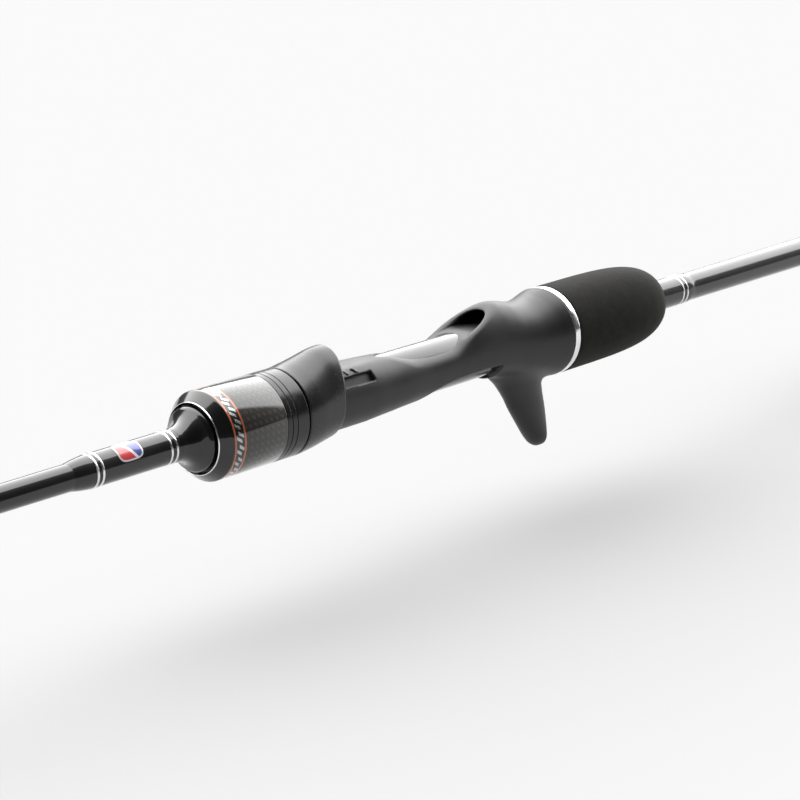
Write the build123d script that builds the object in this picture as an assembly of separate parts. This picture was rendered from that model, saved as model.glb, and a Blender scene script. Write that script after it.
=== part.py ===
from build123d import *
import math
import os

# A bait-casting fishing rod. All sizes are in millimetres.
# The rod lies along +X from the middle of its butt face; +Z is the side that carries the reel and the guides.

# ---- driving dimensions ----
ROD_LENGTH = 1830.0
SEAT_X = 290.0            # where the rear grip's ring ends and the moulded seat begins
RING_WIDTH = 2.0
FOAM_LENGTH = 46.5        # grip behind the seat ring
HANDLE_R = 12.5           # foam grip, ring and seat at their joint
BARREL_R = 8.65           # seat barrel, thread crests included
BARREL_FLAT_Z = 7.95      # land that the reel foot rests on
BARREL_END = SEAT_X + 130.5
THREAD_START = SEAT_X + 104.0
THREAD_PITCH = 1.5
THREAD_DEPTH = 0.65
PLATFORM_Z = 7.1          # floor of the fixed hood's pocket
SEAT_BORE_R = 5.6
TUBE_R = 6.9              # gloss tube seen through the seat's windows
TUBE_X0 = SEAT_X + 10.0
TUBE_X1 = SEAT_X + 76.0
TUBE_WALL = 0.7
NUT_R = 11.25
NUT_REAR = SEAT_X + 102.9
NUT_FRONT = SEAT_X + 131.4
NUT_CORE_R = 10.6
NUT_LIP_R = 9.0           # bare metal lip in front of the nut's end ring
COLLAR_END = SEAT_X + 110.4
SLEEVE_X0 = SEAT_X + 110.5
ACCENT_X0 = SEAT_X + 124.5
ACCENT_X1 = SEAT_X + 128.2
LINE_WIDTH = 0.5
HOOD_FRONT = SEAT_X + 102.6
HOOD_BORE_R = 8.95
NECK_R = 9.45             # hood's neck inside the nut
NECK_END = SEAT_X + 108.5
RUNNING_GAP = 0.08        # nut bore over the thread crests
KEY_ANGLE = 37.5          # degrees above horizontal of the seat's two key slots
FERRULE_X = 862.0         # where the tip section's socket starts
FERRULE_LENGTH = 60.0
FERRULE_GAP = 0.05
BLANK_WALL = 0.75
TRIM_HEIGHT = 0.06        # how far a trim band stands proud of its wrap
OVAL_POINTS = 20

# outer radius of the two blank sections at stations along the rod
BUTT_BLANK = [
    (2.0, 4.55),
    (160.0, 4.4),
    (215.0, 4.17),
    (290.0, 3.9),
    (470.0, 3.25),
    (FERRULE_X, 2.55),
    (FERRULE_X + FERRULE_LENGTH, 2.43),
]
TIP_BLANK = [(FERRULE_X, 3.4), (930.0, 3.05), (ROD_LENGTH - 2.0, 0.75)]

# each guide from the butt end: x of its ring, the ring's outer radius and bore radius, and the height of its
# centre over the rod axis
GUIDES = [
    (760.0, 5.0, 3.7, 13.0),
    (960.0, 4.0, 2.9, 10.6),
    (1130.0, 3.5, 2.5, 9.2),
    (1280.0, 3.0, 2.1, 8.0),
    (1410.0, 2.75, 1.9, 7.2),
    (1530.0, 2.5, 1.7, 6.6),
    (1640.0, 2.5, 1.7, 6.3),
    (1740.0, 2.5, 1.7, 6.0),
]
CERAMIC_WIDTH = 1.6
CERAMIC_EDGE = 0.3
HOOP_WIDTH = 1.5
FOOT_THICKNESS = 0.7
TIP_RING_R = 2.5
TIP_BORE_R = 1.7
TIP_RING_Z = 3.9
TIP_TUBE_R = 1.25
TIP_TUBE_LENGTH = 12.0

os.makedirs("parts", exist_ok=True)


# ---- helpers ----
def save(name, shape):
    """Write one node's STEP file."""
    export_step(shape, f"parts/{name}.step")


def turned(outline):
    """Revolve a closed outline of (x, radius) points about the rod axis."""
    points = [(x, 0, r) for x, r in outline]
    return revolve(make_face(Polyline(*points, close=True)), Axis.X)


def turned_smooth(curve, inner_r):
    """Revolve the area under a smooth (x, radius) curve, down to a straight bore."""
    points = [(x, 0, r) for x, r in curve]
    first = points[0]
    last = points[-1]
    edges = Spline(*points)
    edges += Line(last, (last[0], 0, inner_r))
    edges += Line((last[0], 0, inner_r), (first[0], 0, inner_r))
    edges += Line((first[0], 0, inner_r), first)
    return revolve(make_face(edges), Axis.X)


def ring(x0, x1, inner_r, outer_r):
    """Plain ring about the rod axis."""
    return turned([(x0, inner_r), (x1, inner_r), (x1, outer_r), (x0, outer_r)])


def rod(x0, x1, radius):
    """Plain round bar on the rod axis."""
    return turned([(x0, 0), (x1, 0), (x1, radius), (x0, radius)])


def on_curve(stations, x):
    """Value at x of a list of (x, value) stations joined by straight lines."""
    for (x0, v0), (x1, v1) in zip(stations, stations[1:]):
        if x <= x1:
            return v0 + (v1 - v0) * (x - x0) / (x1 - x0)
    return stations[-1][1]


def blank_r(x):
    """Outer radius of whichever blank section is outermost at x."""
    return on_curve(BUTT_BLANK if x < FERRULE_X else TIP_BLANK, x)


def sleeve(x0, x1, outer):
    """Sleeve on the blank: bore follows the blank's taper, outside follows (x, radius) points."""
    stations = BUTT_BLANK if x0 < FERRULE_X else TIP_BLANK
    stops = [x for x, r in stations if x0 < x < x1]
    bore = [(x, blank_r(x)) for x in [x0] + stops + [x1]]
    return turned(bore + list(reversed(outer)))


def oval(x, half_width, top, bottom):
    """Section across the rod: half ellipses of two heights that meet at the widest points."""
    points = []
    for i in range(OVAL_POINTS):
        a = 2 * math.pi * i / OVAL_POINTS
        height = top if math.sin(a) > 0 else bottom
        points.append((x, half_width * math.cos(a), height * math.sin(a)))
    return make_face(Spline(*points, periodic=True))


def lofted(stations, ruled=False):
    """Loft through (x, half_width, top, bottom) sections."""
    return loft([oval(*station) for station in stations], ruled=ruled)


def across(edges, half_width=25.0):
    """Prism across the rod, both ways from a closed outline in the XZ plane."""
    return extrude(make_face(edges), amount=half_width, dir=(0, 1, 0), both=True)


def at(x, z):
    """Point in the rod's side plane, with x counted from SEAT_X."""
    return (SEAT_X + x, 0, z)


def facing_tip(x, z=0.0):
    """Plane across the rod whose x runs to the rod's left and whose y runs up."""
    return Plane(origin=(x, 0, z), x_dir=(0, 1, 0), z_dir=(1, 0, 0))


def arch(x, half_width, floor, top, power):
    """Round-topped opening over a flat floor, as a section across the rod."""
    points = []
    for i in range(9):
        a = math.pi * i / 8
        rise = max(math.sin(a), 0.0) ** power
        points.append((SEAT_X + x, -half_width * math.cos(a), floor + (top - floor) * rise))
    edges = Spline(*points)
    edges += Line(points[-1], points[0])
    return make_face(edges)


# ---- blank and grips ----
def blank_section(stations, wall, socket=None):
    """Tapered tube. A socket (x_end, radius at start, radius at end) widens its bore for the other section."""
    inside = [(x, r - wall) for x, r in stations]
    if socket:
        x_end, r0, r1 = socket
        x0 = stations[0][0]
        rest = [(x, r) for x, r in inside if x > x_end + 5]
        inside = [(x0, r0), (x_end, r1), (x_end + 4, on_curve(stations, x_end + 4) - wall)] + rest
    end_x, end_r = stations[-1]
    inside[-1] = (end_x, max(end_r - wall, 0.3))
    return turned(stations + list(reversed(inside)))


def butt_cap():
    """Rubber cap with a flat end face and a socket for the blank."""
    face = [(0, 0), (0, 10.8), (0.6, 12.2), (1.8, 13.1), (3.6, 13.5), (16, 13.5)]
    socket = [(16, 4.6), (2, 4.6), (2, 0)]
    return turned(face + socket)


def rear_grip():
    """Tapered foam butt grip."""
    swell = [(19, 13.0), (24, 13.35), (45, 13.5), (70, 12.9), (95, 11.3)]
    neck = [(112, 9.6), (120, 8.2), (123, 6.6)]
    return turned_smooth(swell + neck, 4.56)


def mid_grip():
    """Foam grip behind the reel seat: a straight body and a rounded nose."""
    end = SEAT_X - RING_WIDTH
    bore = 4.15
    nose = [(0, 5.5), (0.5, 7.0), (2, 8.8), (4.5, 10.1), (8, 11.1), (12.5, 11.8), (17.5, 12.2), (22.5, 12.4)]
    points = [(end - FOAM_LENGTH + x, 0, r) for x, r in nose]
    shoulder = (end - 18, 0, HANDLE_R)
    edges = Spline(*points, shoulder, tangents=((0.2, 0, 1), (1, 0, 0)))
    edges += Line(shoulder, (end, 0, HANDLE_R))
    edges += Line((end, 0, HANDLE_R), (end, 0, bore))
    edges += Line((end, 0, bore), (points[0][0], 0, bore))
    edges += Line((points[0][0], 0, bore), points[0])
    return revolve(make_face(edges), Axis.X)


def seat_ring():
    """Polished ring between the foam grip and the seat."""
    x0 = SEAT_X - RING_WIDTH
    edge = 0.15
    outline = [(x0, 4.15), (SEAT_X, 4.15), (SEAT_X, HANDLE_R - 0.1 - edge), (SEAT_X - edge, HANDLE_R - 0.1)]
    outline += [(x0 + edge, HANDLE_R + 0.05), (x0, HANDLE_R + 0.05 - edge)]
    return turned(outline)


def rear_check():
    """Aluminium winding check in front of the butt grip."""
    return sleeve(123, 127.5, [(123, 6.4), (124.2, 6.5), (126.2, 5.9), (127.5, 5.0)])


def wrap_bands(xs, outer_r, width=0.55):
    """Metallic trim bands in a wrap."""
    bands = [ring(x, x + width, blank_r(x) + 0.05, outer_r + TRIM_HEIGHT) for x in xs]
    return Compound(children=bands)


# ---- reel seat ----
def seat_body():
    """Outer skin of the moulded seat before its openings are cut."""
    stations = [
        (0, 12.4, 12.4, 12.4),
        (2.0, 11.95, 11.9, 12.1),
        (5, 11.35, 11.2, 11.5),
        (9.5, 10.6, 10.8, 10.6),
        (14.5, 9.9, 11.35, 9.6),
        (19.3, 9.35, 12.4, 8.6),
        (24, 8.95, 13.0, 7.9),
        (29, 8.65, 12.9, 7.6),
        (34, 8.4, 12.0, 7.6),
        (39, 8.2, 10.0, 7.6),
        (44, 8.1, 8.7, 7.6),
        (52, 8.1, 8.3, 7.6),
        (62, 8.4, 8.4, 7.9),
        (73, 8.5, 8.5, 8.5),
    ]
    body = lofted([(SEAT_X + x, w, t, b) for x, w, t, b in stations], ruled=True)
    barrel_length = BARREL_END - SEAT_X - 72
    barrel = Cylinder(BARREL_R, barrel_length, align=(Align.CENTER, Align.CENTER, Align.MIN))
    barrel = Pos(SEAT_X + 72, 0, 0) * Rot(0, 90, 0) * barrel
    return body + barrel


def trigger():
    """Finger trigger, lofted through ellipses at (z, x, half length, half width)."""
    stations = [
        (-4, 11.4, 10.8, 5.6),
        (-9, 11.2, 10.1, 4.7),
        (-12, 9.9, 8.8, 4.1),
        (-16, 8.0, 7.6, 3.6),
        (-20, 6.25, 6.85, 3.4),
        (-24, 4.35, 5.85, 3.3),
        (-27, 2.9, 5.1, 3.2),
        (-29.6, 1.55, 4.0, 2.8),
        (-31.6, 0.85, 2.6, 2.0),
        (-32.8, 0.65, 0.9, 0.8),
    ]
    sections = []
    for z, x, length, width in stations:
        plane = Plane(origin=(SEAT_X + x, 0, z), x_dir=(1, 0, 0), z_dir=(0, 0, -1))
        sections.append(plane * Ellipse(length, width))
    return loft(sections)


def mouth_profile():
    """Side profile above which the seat is cut away: the hood's slanted mouth and the saddle over the tube."""
    saddle = [at(41.5, 5.25), at(49, 4.9), at(57, 5.5), at(64, 7.0), at(70.5, 8.75)]
    edges = Line(at(20, 14.26), saddle[0])
    edges += Spline(*saddle, tangents=((1, 0, -0.3), (1, 0, 0.15)))
    edges += Line(saddle[-1], at(70.5, 20))
    edges += Line(at(70.5, 20), at(20, 20))
    edges += Line(at(20, 20), at(20, 14.26))
    return edges


def belly_profile():
    """Side profile of the opening below the tube, in front of the trigger."""
    roof = [at(26.5, -2.6), at(38, -2.7), at(47, -3.5), at(52, -4.9), at(58, -8.6)]
    edges = Spline(*roof, tangents=((1, 0, 0.1), (1, 0, -0.9)))
    edges += Line(roof[-1], at(58, -14))
    edges += Line(at(58, -14), at(33, -14))
    edges += Line(at(33, -14), at(26.5, -6.5))
    edges += Line(at(26.5, -6.5), roof[0])
    return edges


def window_cut():
    """Upper window that bares the core tube: a rounded slot seen from above."""
    side = [(38.5, 2.6), (42, 4.3), (50, 4.95), (57, 4.35), (63, 2.9), (67, 1.3)]
    base = 2.0
    rear = (SEAT_X + 36.8, 0, base)
    front = (SEAT_X + 68.3, 0, base)
    left = [(SEAT_X + x, y, base) for x, y in side]
    right = [(SEAT_X + x, -y, base) for x, y in side]
    outline = Spline(rear, *left, front, tangents=((0, 1, 0), (0, -1, 0)))
    outline += Spline(rear, *right, front, tangents=((0, -1, 0), (0, 1, 0)))
    return extrude(make_face(outline), amount=14, dir=(0, 0, 1))


def hood_pocket():
    """Space under the fixed hood for the reel foot's rear end."""
    stations = [(15, 3.9, 10.2), (19, 4.3, 11.2), (24, 4.5, 11.8), (30, 4.5, 11.9), (42, 4.4, 11.9)]
    return loft([arch(x, half, PLATFORM_Z, top, 0.7) for x, half, top in stations], ruled=True)


def key_slots(x0, x1, width, r0, r1):
    """Two straight bars along the rod at the key angle, used as slots or as keys."""
    bar = Box(x1 - x0, r1 - r0, width, align=(Align.MIN, Align.MIN, Align.CENTER))
    left = Rot(KEY_ANGLE, 0, 0) * (Pos(x0, r0, 0) * bar)
    return [left, mirror(left, about=Plane.XZ)]


def thread_grooves():
    """Grooves between the thread crests."""
    count = int((BARREL_END - THREAD_START - 1) / THREAD_PITCH)
    outside = BARREL_R + 0.1
    root = BARREL_R - THREAD_DEPTH
    grooves = []
    for i in range(count):
        x = THREAD_START + 1 + i * THREAD_PITCH
        grooves.append(turned([(x, outside), (x + 1.05, outside), (x + 0.65, root), (x + 0.4, root)]))
    return grooves


def reel_seat():
    """Moulded seat: fixed hood, windows, barrel with key slots and thread, finger trigger."""
    seat = seat_body() + trigger()
    seat -= across(mouth_profile())
    seat -= across(belly_profile())
    seat -= window_cut()
    seat -= hood_pocket()
    flat_start = SEAT_X + 66
    above_flat = Box(BARREL_END - flat_start, 12, 5, align=(Align.MIN, Align.CENTER, Align.MIN))
    seat -= Pos(flat_start, 0, BARREL_FLAT_Z) * above_flat
    seat -= rod(TUBE_X0, TUBE_X1, TUBE_R)
    seat -= rod(SEAT_X - 1, BARREL_END + 1, SEAT_BORE_R)
    for slot in key_slots(SEAT_X + 75.5, BARREL_END + 1, 2.8, 7.3, 10):
        seat -= slot
    for groove in thread_grooves():
        seat -= groove
    seat -= ring(SEAT_X - 6, SEAT_X, 3, HANDLE_R + 0.6)
    return seat.solids().sort_by(SortBy.VOLUME)[-1]


def core_tube():
    """Gloss tube inside the seat."""
    return ring(TUBE_X0, TUBE_X1, TUBE_R - TUBE_WALL, TUBE_R)


def arbor_rear():
    """Shim between blank and seat at the rear."""
    inside_r = TUBE_R - TUBE_WALL
    start = SEAT_X + 1
    end = SEAT_X + 32
    outer = [(start, SEAT_BORE_R), (TUBE_X0, SEAT_BORE_R), (TUBE_X0, inside_r), (end, inside_r)]
    return sleeve(start, end, outer)


def arbor_front():
    """Shim between blank and seat at the front."""
    inside_r = TUBE_R - TUBE_WALL
    start = SEAT_X + 56
    end = BARREL_END - 1
    outer = [(start, inside_r), (TUBE_X1, inside_r), (TUBE_X1, SEAT_BORE_R), (end, SEAT_BORE_R)]
    return sleeve(start, end, outer)


def front_check():
    """Horn-shaped winding check that closes the seat's front end."""
    outer = [
        (BARREL_END, 7.4),
        (BARREL_END + 0.3, 7.8),
        (BARREL_END + 1.2, 8.05),
        (BARREL_END + 2.0, 7.9),
        (BARREL_END + 2.5, 7.2),
        (BARREL_END + 3.3, 5.95),
        (BARREL_END + 4.4, 5.0),
        (BARREL_END + 6.0, 4.4),
        (BARREL_END + 8.0, 4.15),
    ]
    return sleeve(BARREL_END, BARREL_END + 8.0, outer)


def fore_wrap():
    """Gloss thread wrap in front of the seat."""
    start = BARREL_END + 8.0
    end = SEAT_X + 170
    outer = [(start, 4.1), (end - 6.5, 4.05), (end - 3, 3.75), (end, 3.35)]
    return sleeve(start, end, outer)


def rear_wrap():
    """Gloss thread wrap behind the foam grip."""
    start = SEAT_X - 69
    end = SEAT_X - RING_WIDTH - FOAM_LENGTH
    return sleeve(start, end, [(start, 4.25), (start + 2.5, 4.35), (end, 4.4)])


def ferrule_wrap():
    """Thread wrap that strengthens the tip section's socket."""
    end = FERRULE_X + 26
    return sleeve(FERRULE_X, end, [(FERRULE_X, 3.6), (FERRULE_X + 1, 3.72), (end - 4, 3.7), (end, 3.3)])


def emblem():
    """Thin rounded badge on the fore wrap."""
    shell = ring(SEAT_X + 148, SEAT_X + 160, 4.1, 4.2)
    shape = extrude(Plane(origin=(0, 0, 0)) * RectangleRounded(7.4, 6.0, 2.2), amount=8)
    shape = Pos(SEAT_X + 153.6, 0, 0) * Rot(-33, 0, 0) * shape
    return shell & shape


# ---- moving hood and nut ----
def moving_hood():
    """Hood that slides on the barrel and traps the reel foot's front end."""
    stations = [
        (82, 9.2, 13.95, 8.4),
        (86, 9.5, 14.05, 9.0),
        (89.5, 9.9, 13.8, 9.6),
        (93.4, 10.4, 12.85, 10.25),
        (97.8, 10.95, 11.9, 10.9),
        (102.6, NUT_R, NUT_R, NUT_R),
    ]
    hood = lofted([(SEAT_X + x, w, t, b) for x, w, t, b in stations])
    lip = [at(89.2, -16), at(88.6, 0), at(87.3, 9), at(86.4, 13.0), at(86.2, 18)]
    hood -= across(Polyline(*lip, at(70, 18), at(70, -16), close=True))
    hood += ring(HOOD_FRONT - 1, NECK_END, HOOD_BORE_R, NECK_R)
    hood -= rod(SEAT_X + 70, NECK_END + 1, HOOD_BORE_R)
    hood -= hood_throat()
    for key in key_slots(SEAT_X + 90.5, SEAT_X + 101, 2.3, 7.7, 9.2):
        hood += key
    return hood


def hood_throat():
    """Space inside the moving hood for the reel foot's front end."""
    stations = [(80, 6.4, 12.7), (90, 6.4, 12.6), (94, 6.2, 11.5), (98, 5.8, 10.2)]
    return loft([arch(x, half, 6.0, top, 0.7) for x, half, top in stations], ruled=True)


def snap_ring():
    """Wire ring on the hood's neck that keeps the nut on it."""
    return ring(SEAT_X + 106.0, SEAT_X + 107.0, NECK_R, NECK_R + 0.5)


def nut_core():
    """Aluminium nut: bore over the thread, counterbore over the hood's neck, groove for the snap ring."""
    bore = BARREL_R + RUNNING_GAP
    counterbore = NECK_R + 0.3
    groove = NECK_R + 0.8
    outline = [
        (NUT_REAR, counterbore),
        (SEAT_X + 105.7, counterbore),
        (SEAT_X + 105.7, groove),
        (SEAT_X + 107.3, groove),
        (SEAT_X + 107.3, counterbore),
        (SEAT_X + 109.0, counterbore),
        (SEAT_X + 109.0, bore),
        (NUT_FRONT - 0.15, bore),
        (NUT_FRONT, bore + 0.1),
        (NUT_FRONT, NUT_LIP_R - 0.08),
        (NUT_FRONT - 0.1, NUT_LIP_R),
        (SEAT_X + 128.6, NUT_LIP_R),
        (SEAT_X + 128.6, NUT_CORE_R),
        (NUT_REAR, NUT_CORE_R),
    ]
    return turned(outline)


def nut_collar():
    """Satin collar at the nut's rear with thin grip grooves."""
    groove_width = 0.25
    collar = ring(NUT_REAR, COLLAR_END, NUT_CORE_R, NUT_R)
    for x in (SEAT_X + 107.0, SEAT_X + 108.7):
        collar -= ring(x, x + groove_width, NUT_R - 0.3, NUT_R + 1)
    return collar - ring(NUT_REAR - 1, NUT_REAR + 0.3, NUT_R - 0.35, NUT_R + 1)


def nut_sleeve():
    """Carbon-weave sleeve on the nut."""
    return ring(SLEEVE_X0, ACCENT_X0, NUT_CORE_R, NUT_R)


def accent_band():
    """Band with a metallic pattern between the two pin lines."""
    return ring(ACCENT_X0 + LINE_WIDTH, ACCENT_X1 - LINE_WIDTH, NUT_CORE_R, NUT_R)


def accent_lines():
    """Two thin coloured lines, one at each side of the band."""
    rear = ring(ACCENT_X0, ACCENT_X0 + LINE_WIDTH, NUT_CORE_R, NUT_R)
    front = ring(ACCENT_X1 - LINE_WIDTH, ACCENT_X1, NUT_CORE_R, NUT_R)
    return Compound(children=[rear, front])


def nut_end_ring():
    """Gloss front ring of the nut with its conical chamfer."""
    outline = [
        (ACCENT_X1, NUT_CORE_R),
        (ACCENT_X1, NUT_R),
        (SEAT_X + 128.5, 11.15),
        (SEAT_X + 128.9, 10.8),
        (SEAT_X + 130.9, 9.2),
        (SEAT_X + 131.1, NUT_LIP_R),
        (SEAT_X + 128.6, NUT_LIP_R),
        (SEAT_X + 128.6, NUT_CORE_R),
    ]
    return turned(outline)


# ---- guides ----
def ceramic_ring(x, z, outer_r, bore_r):
    """Ring with rounded edges, standing across the rod."""
    section = Circle(outer_r) - Circle(bore_r)
    body = extrude(facing_tip(x, z) * section, amount=CERAMIC_WIDTH / 2, both=True)
    return fillet(body.edges().filter_by(GeomType.CIRCLE), CERAMIC_EDGE)


def guide_frame(x, outer_r, height, foot_start, foot_end, foot_half):
    """Hoop round the ceramic ring, leg and foot of one single-foot guide."""
    rod_r = blank_r(x)
    foot_z = rod_r * 0.9
    foot_top = rod_r + FOOT_THICKNESS
    holder = 0.55 + outer_r * 0.05
    hoop_section = Circle(outer_r + holder) - Circle(outer_r)
    hoop = extrude(facing_tip(x, height) * hoop_section, amount=HOOP_WIDTH / 2, both=True)
    leg_top = height - outer_r - holder * 0.5
    leg_side = [
        (foot_end - 1.5, 0, foot_z),
        (foot_end, 0, foot_top),
        (x - HOOP_WIDTH / 2, 0, leg_top),
        (x + HOOP_WIDTH / 2, 0, leg_top),
        (x + HOOP_WIDTH / 2, 0, leg_top - 0.8),
        (foot_end + 1.2, 0, foot_z),
    ]
    leg = across(Polyline(*leg_side, close=True), max(0.9, outer_r * 0.32))
    foot_side = [
        (foot_start, 0, foot_z),
        (foot_start, 0, rod_r + 0.15),
        (foot_start + 3, 0, foot_top),
        (foot_end, 0, foot_top),
        (foot_end + 1.2, 0, foot_z),
    ]
    foot = across(Polyline(*foot_side, close=True), foot_half)
    ring_room = extrude(facing_tip(x, height) * Circle(outer_r), amount=3, both=True)
    return hoop + leg + foot - blank_bar(x) - ring_room


def blank_bar(x):
    """Solid bar that fills the blank's outside near x."""
    return turned([(x - 60, 0), (x + 30, 0), (x + 30, blank_r(x + 30)), (x - 60, blank_r(x - 60))])


def guide(x, outer_r, bore_r, height):
    """Frame, ceramic ring and thread wrap of one guide that stands on the rod's +Z side."""
    rod_r = blank_r(x)
    foot_start = x - 3.2 * outer_r - 4
    foot_end = x - outer_r - 1
    foot_half = min(1.1, rod_r * 0.75)
    frame = guide_frame(x, outer_r, height, foot_start, foot_end, foot_half)
    wrap_x0 = foot_start - 2.0
    wrap_x1 = foot_end - 0.2
    cover = rod_r + FOOT_THICKNESS + 0.25
    round_part = Circle(rod_r + 0.3)
    hump = Pos(0, cover / 2) * Rectangle(2 * foot_half + 0.5, cover)
    wrap = extrude(facing_tip(wrap_x0) * (round_part + hump), amount=wrap_x1 - wrap_x0)
    wrap = wrap - blank_bar(x) - frame
    return frame, ceramic_ring(x, height, outer_r, bore_r), wrap


def tip_top():
    """Frame with its tube, ceramic ring and wrap of the guide at the rod's tip."""
    ring_x = ROD_LENGTH - 2.6
    tube_x = ROD_LENGTH - TIP_TUBE_LENGTH
    blank_end = TIP_BLANK[-1][0]
    hoop_section = Circle(TIP_RING_R + 0.7) - Circle(TIP_RING_R)
    hoop = extrude(facing_tip(ring_x, TIP_RING_Z) * hoop_section, amount=HOOP_WIDTH / 2, both=True)
    nose = [(ROD_LENGTH - 0.5, 0), (ROD_LENGTH, 0.5), (ROD_LENGTH, 0.9), (ROD_LENGTH - 0.4, TIP_TUBE_R)]
    tube = turned([(tube_x, 0)] + nose + [(tube_x, TIP_TUBE_R)])
    saddle = Pos(ring_x, 0, 0.9) * Box(HOOP_WIDTH, 1.8, 1.0)
    bore_x = tube_x - 2
    bore = turned([(bore_x, 0), (blank_end, 0), (blank_end, blank_r(blank_end)), (bore_x, blank_r(bore_x))])
    ring_room = extrude(facing_tip(ring_x, TIP_RING_Z) * Circle(TIP_RING_R), amount=3, both=True)
    frame = hoop + tube + saddle - bore - ring_room
    ceramic = ceramic_ring(ring_x, TIP_RING_Z, TIP_RING_R, TIP_BORE_R)
    wrap_x = tube_x - 8
    wrap = sleeve(wrap_x, tube_x, [(wrap_x, 0.95), (wrap_x + 1, 1.2), (tube_x - 0.5, 1.3), (tube_x, 1.2)])
    return frame.solids().sort_by(SortBy.VOLUME)[-1], ceramic, wrap


# ---- write every node ----
def save_wrap(name, wrap, bands_name, bands):
    """Write a wrap with room cut for its metallic bands, and the bands."""
    for band in bands.solids():
        wrap -= band
    save(name, wrap)
    save(bands_name, bands)


ferrule_r = on_curve(BUTT_BLANK, FERRULE_X) + FERRULE_GAP
ferrule_end_r = BUTT_BLANK[-1][1] + FERRULE_GAP
save("blank_butt", blank_section(BUTT_BLANK, BLANK_WALL))
save("blank_tip", blank_section(TIP_BLANK, BLANK_WALL, (FERRULE_X + FERRULE_LENGTH, ferrule_r, ferrule_end_r)))
save("butt_cap", butt_cap())
save("butt_ring", sleeve(16, 19, [(16, 13.4), (16.2, 13.6), (18.8, 13.3), (19, 13.1)]))
save("rear_grip", rear_grip())
save("rear_check", rear_check())
save("mid_grip", mid_grip())
save("seat_ring", seat_ring())
save_wrap("rear_wrap", rear_wrap(), "rear_trims", wrap_bands([SEAT_X - 62.1, SEAT_X - 64.1], 4.35))
save("reel_seat", reel_seat())
save("core_tube", core_tube())
save("arbor_rear", arbor_rear())
save("arbor_front", arbor_front())
save("front_check", front_check())
badge = emblem()
save("emblem", badge)
fore_trims = wrap_bands([SEAT_X + x for x in (139.5, 141.2, 162.1, 163.7)], 4.07)
save_wrap("fore_wrap", fore_wrap() - badge, "fore_trims", fore_trims)
save("moving_hood", moving_hood())
save("snap_ring", snap_ring())
save("nut_core", nut_core())
save("nut_collar", nut_collar())
save("nut_sleeve", nut_sleeve())
save("accent_band", accent_band())
save("accent_lines", accent_lines())
save("nut_end_ring", nut_end_ring())
ferrule_trims = wrap_bands([FERRULE_X + 3, FERRULE_X + 20], 3.72)
save_wrap("ferrule_wrap", ferrule_wrap(), "ferrule_trims", ferrule_trims)
for number, (x, outer_r, bore_r, height) in enumerate(GUIDES, start=1):
    frame, ceramic, wrap = guide(x, outer_r, bore_r, height)
    save(f"guide_{number}_frame", frame)
    save(f"guide_{number}_ring", ceramic)
    save(f"guide_{number}_wrap", wrap)
frame, ceramic, wrap = tip_top()
save("tip_top_frame", frame)
save("tip_top_ring", ceramic)
save("tip_top_wrap", wrap)
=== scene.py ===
import math

import bmesh
import bpy
import numpy as np
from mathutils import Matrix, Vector


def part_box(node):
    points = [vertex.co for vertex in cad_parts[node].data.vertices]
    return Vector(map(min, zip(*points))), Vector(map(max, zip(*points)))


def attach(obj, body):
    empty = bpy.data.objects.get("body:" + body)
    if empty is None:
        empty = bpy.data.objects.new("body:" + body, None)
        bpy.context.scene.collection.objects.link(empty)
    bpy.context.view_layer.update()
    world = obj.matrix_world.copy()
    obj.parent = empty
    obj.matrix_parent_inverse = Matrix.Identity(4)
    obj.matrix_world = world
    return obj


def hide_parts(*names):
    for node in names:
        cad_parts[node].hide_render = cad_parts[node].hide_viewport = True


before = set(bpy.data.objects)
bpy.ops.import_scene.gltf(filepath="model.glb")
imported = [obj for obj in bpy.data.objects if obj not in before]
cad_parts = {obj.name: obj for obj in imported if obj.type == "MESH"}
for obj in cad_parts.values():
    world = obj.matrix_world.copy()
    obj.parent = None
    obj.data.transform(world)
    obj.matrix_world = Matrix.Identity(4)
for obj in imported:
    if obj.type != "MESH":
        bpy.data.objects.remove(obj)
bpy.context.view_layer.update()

# A bait-casting fishing rod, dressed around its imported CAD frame. Shapes are worked out in millimetres.
# The handle's X is measured along the rod from the front face of the ring behind the reel seat; the
# rod's X is measured from the butt. shifted() turns the first into the second.

MM = 0.001


def low(node):
    """Lowest corner of a CAD node, in mm."""
    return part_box(node)[0] / MM


def high(node):
    """Highest corner of a CAD node, in mm."""
    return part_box(node)[1] / MM


SEAT_X = high("seat_ring").x
ROD_END = high("blank_tip").x
FERRULE_X = low("blank_tip").x
BARREL_END = high("reel_seat").x - SEAT_X
NUT_REAR = low("nut_core").x - SEAT_X
NUT_FRONT = high("nut_core").x - SEAT_X
NUT_R = high("nut_sleeve").z
SLEEVE_X0 = low("nut_sleeve").x - SEAT_X
SLEEVE_X1 = high("nut_sleeve").x - SEAT_X
BAND_X1 = low("nut_end_ring").x - SEAT_X
TUBE_R = high("core_tube").z
TUBE_X0, TUBE_X1 = 10, 76
BADGE_TURN = 33.0  # degrees from straight up
BADGE_HALF = 3.0  # half of its size round the rod
GRIP_R = 12.5  # foam grip and ring where they meet the seat
ROUND = 160  # corners round a turned piece
BLANK_ROUND = 64

# outer radius of the two blank sections at stations of the rod's X
BUTT_BLANK = [(2, 4.55), (160, 4.4), (215, 4.17), (290, 3.9), (470, 3.25), (862, 2.55), (922, 2.43)]
TIP_BLANK = [(862, 3.4), (930, 3.05), (1828, 0.75)]
BLANK_WALL = 0.75
SOCKET_DEPTH = 60  # how far the tip section goes over the butt section


# ---------------------------------------------------------------- shapes
def on_line(stations, x):
    """Value at x of (x, value) stations joined by straight lines."""
    xs, values = zip(*stations)
    return float(np.interp(x, xs, values))


def blank_r(x):
    """Outer radius of the outermost blank section at the rod's X."""
    return on_line(BUTT_BLANK if x < FERRULE_X else TIP_BLANK, x)


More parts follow.
